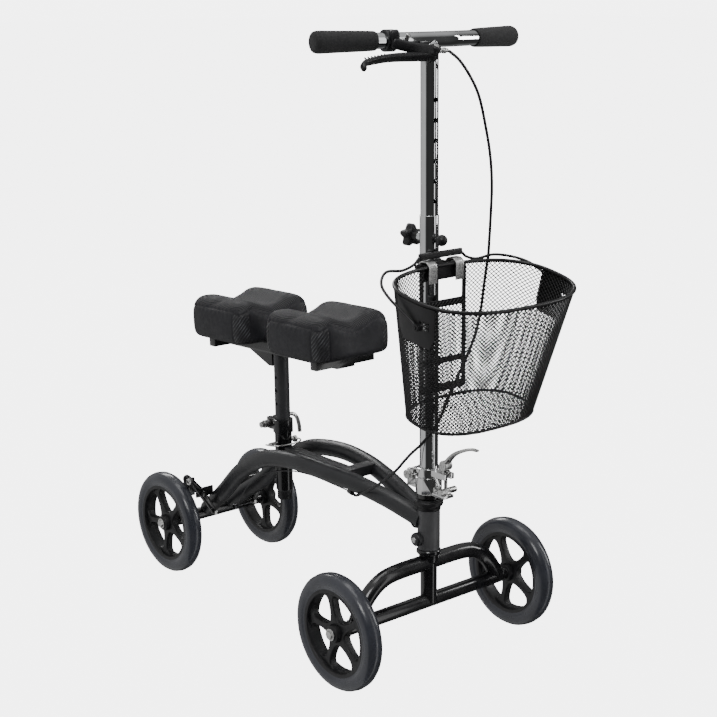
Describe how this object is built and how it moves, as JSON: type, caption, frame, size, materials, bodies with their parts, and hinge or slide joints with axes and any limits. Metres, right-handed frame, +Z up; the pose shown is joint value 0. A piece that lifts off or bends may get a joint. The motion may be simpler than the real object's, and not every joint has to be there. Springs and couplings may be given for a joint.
{
  "type": "knee scooter",
  "caption": "Steerable knee scooter with arched rails, height-adjustable split knee pads, a folding telescopic handlebar column, a lift-off mesh basket and a cable-operated rear brake.",
  "frame": {"origin": "centre of the footprint's outer box on the ground, under the scooter", "axes": "+Z up; -Y towards the scooter's front, so +X is the rider's left; the scooter stands on its wheels at z = 0"},
  "size_m": [0.447, 0.9745, 1.0642],
  "materials": {
    "frame_paint": "dark charcoal powder coat, satin",
    "black_paint": "gloss black enamel on steel",
    "seat_post_paint": "dark grey powder coat, satin",
    "chrome": "polished chrome plate",
    "zinc": "bright zinc-plated steel, fine brushed",
    "tyre": "glossy blue-grey solid polyurethane",
    "wheel_plastic": "black moulded nylon, satin",
    "black_plastic": "black moulded plastic, satin",
    "knob_plastic": "black moulded plastic, semi-gloss",
    "vinyl": "black vinyl upholstery with a fine rib and woven pattern",
    "foam": "closed-cell black foam rubber, matt",
    "brake_pad": "grey moulded rubber, matt",
    "cable_housing": "black extruded plastic housing",
    "mesh_paint": "black powder-coated wire and expanded mesh"
  },
  "bodies": {
    "frame": {"main_rail_right": "frame_paint", "main_rail_left": "frame_paint", "head_tube": "frame_paint", "headset_upper": "knob_plastic", "headset_lower": "black_paint", "frame_bridge": "frame_paint", "seat_tube": "black_paint", "rear_axle_tube": "black_paint", "brake_bracket_right": "black_paint", "brake_bracket_left": "black_paint", "cable_stop": "black_paint", "seat_clamp_bolt": "zinc", "axle_bolt_rear_right": "zinc", "axle_bolt_rear_left": "zinc", "brake_wire": "zinc", "brake_cable_lower": "cable_housing"},
    "seat_clamp_lever": {"seat_clamp_lever": "zinc"},
    "seat_lock_pin": {"seat_lock_pin": "zinc"},
    "seat_lock_bail": {"seat_lock_bail": "zinc"},
    "seat": {"seat_post": "seat_post_paint", "seat_post_plug": "black_plastic", "seat_bracket": "black_paint", "knee_pad_front": "vinyl", "knee_pad_rear": "vinyl"},
    "wheel_rear_right": {"tyre_rear_right": "tyre", "wheel_rear_right": "wheel_plastic"},
    "wheel_rear_left": {"tyre_rear_left": "tyre", "wheel_rear_left": "wheel_plastic"},
    "steering": {"fork": "black_paint", "clamp_lower": "chrome", "fold_hinge_pin": "chrome", "axle_bolt_front_right": "zinc", "axle_bolt_front_left": "zinc"},
    "wheel_front_right": {"tyre_front_right": "tyre", "wheel_front_right": "wheel_plastic"},
    "wheel_front_left": {"tyre_front_left": "tyre", "wheel_front_left": "wheel_plastic"},
    "column": {"clamp_upper": "chrome", "clamp_swing_bolt": "chrome", "column_tube": "chrome", "basket_bracket": "mesh_paint", "brake_cable_middle": "cable_housing"},
    "clamp_cam_lever": {"clamp_cam_lever": "chrome"},
    "column_star_knob": {"column_star_knob": "knob_plastic"},
    "column_lock_pin": {"column_lock_pin": "knob_plastic"},
    "tiller": {"mast_inner_tube": "chrome", "handlebar": "chrome", "grip_right": "foam", "grip_left": "foam", "brake_lever_perch": "black_plastic", "brake_cable_upper": "cable_housing"},
    "brake_lever": {"brake_lever": "black_plastic"},
    "basket": {"basket_shell": "mesh_paint", "basket_frame": "mesh_paint"},
    "basket_handle": {"basket_handle": "mesh_paint"},
    "brake_arm_right": {"brake_arm_right": "black_paint", "brake_shoe_right": "brake_pad"},
    "brake_arm_left": {"brake_arm_left": "black_paint", "brake_shoe_left": "brake_pad"}
  },
  "joints": [
    {"name": "steer", "type": "hinge", "parent": "frame", "child": "steering", "pos_m": [0, -0.2543, 0.24], "axis": [0, 0, 1], "range_deg": [-40, 40], "deforming": ["brake_cable_lower"]},
    {"name": "fold", "type": "hinge", "parent": "steering", "child": "column", "pos_m": [0, -0.2243, 0.33], "axis": [-1, 0, 0], "range_deg": [0, 32], "deforming": ["brake_cable_middle"]},
    {"name": "cam_lever_swing", "type": "hinge", "parent": "column", "child": "clamp_cam_lever", "pos_m": [0, -0.2963, 0.3583], "axis": [1, 0, 0], "range_deg": [0, 75]},
    {"name": "tiller_slide", "type": "slide", "parent": "column", "child": "tiller", "axis": [0, 0, 1], "range_m": [-0.2, 0.06], "deforming": ["brake_cable_upper"]},
    {"name": "star_knob_turn", "type": "hinge", "parent": "column", "child": "column_star_knob", "pos_m": [0, -0.2093, 0.735], "axis": [0, 1, 0], "continuous": true},
    {"name": "column_pin_pull", "type": "slide", "parent": "column", "child": "column_lock_pin", "axis": [0, -1, 0], "range_m": [0, 0.006], "stiffness_N_per_m": 800, "springref_m": -0.004},
    {"name": "basket_swing", "type": "hinge", "parent": "column", "child": "basket", "pos_m": [0, -0.2773, 0.697], "axis": [-1, 0, 0], "range_deg": [0, 12]},
    {"name": "basket_handle_swing", "type": "hinge", "parent": "basket", "child": "basket_handle", "pos_m": [0, -0.4003, 0.635], "axis": [1, 0, 0], "range_deg": [0, 140]},
    {"name": "brake_lever_squeeze", "type": "hinge", "parent": "tiller", "child": "brake_lever", "pos_m": [-0.019, -0.28548, 1.029], "axis": [0, 0.5, -0.866], "range_deg": [0, 12], "stiffness_Nm_per_rad": 3, "springref_deg": -5.73, "deforming": ["brake_wire"]},
    {"name": "seat_height", "type": "slide", "parent": "frame", "child": "seat", "axis": [0, 0, 1], "range_m": [-0.05, 0.075]},
    {"name": "seat_clamp_lever_swing", "type": "hinge", "parent": "frame", "child": "seat_clamp_lever", "pos_m": [0.022, 0.1827, 0.33], "axis": [0, -1, 0], "range_deg": [0, 70]},
    {"name": "seat_pin_pull", "type": "slide", "parent": "frame", "child": "seat_lock_pin", "axis": [1, 0, 0], "range_m": [0, 0.014]},
    {"name": "seat_pin_bail_swing", "type": "hinge", "parent": "seat_lock_pin", "child": "seat_lock_bail", "pos_m": [0.0325, 0.1567, 0.297], "axis": [0, 0, 1], "range_deg": [0, 20]},
    {"name": "brake_arm_right_pivot", "type": "hinge", "parent": "frame", "child": "brake_arm_right", "pos_m": [-0.074, 0.3307, 0.165], "axis": [0, -1, 0], "range_deg": [0, 2.8]},
    {"name": "brake_arm_left_pivot", "type": "hinge", "parent": "frame", "child": "brake_arm_left", "pos_m": [0.074, 0.3307, 0.165], "axis": [0, 1, 0], "range_deg": [0, 2.8]},
    {"name": "wheel_front_right_spin", "type": "hinge", "parent": "steering", "child": "wheel_front_right", "pos_m": [-0.201, -0.2543, 0.1016], "axis": [1, 0, 0], "continuous": true},
    {"name": "wheel_front_left_spin", "type": "hinge", "parent": "steering", "child": "wheel_front_left", "pos_m": [0.201, -0.2543, 0.1016], "axis": [1, 0, 0], "continuous": true},
    {"name": "wheel_rear_right_spin", "type": "hinge", "parent": "frame", "child": "wheel_rear_right", "pos_m": [-0.1185, 0.3857, 0.1016], "axis": [1, 0, 0], "continuous": true},
    {"name": "wheel_rear_left_spin", "type": "hinge", "parent": "frame", "child": "wheel_rear_left", "pos_m": [0.1185, 0.3857, 0.1016], "axis": [1, 0, 0], "continuous": true}
  ],
  "couplings": [
    {"joint": "brake_arm_right_pivot", "follows": "brake_lever_squeeze", "ratio": 0.2333},
    {"joint": "brake_arm_left_pivot", "follows": "brake_lever_squeeze", "ratio": 0.2333}
  ]
}
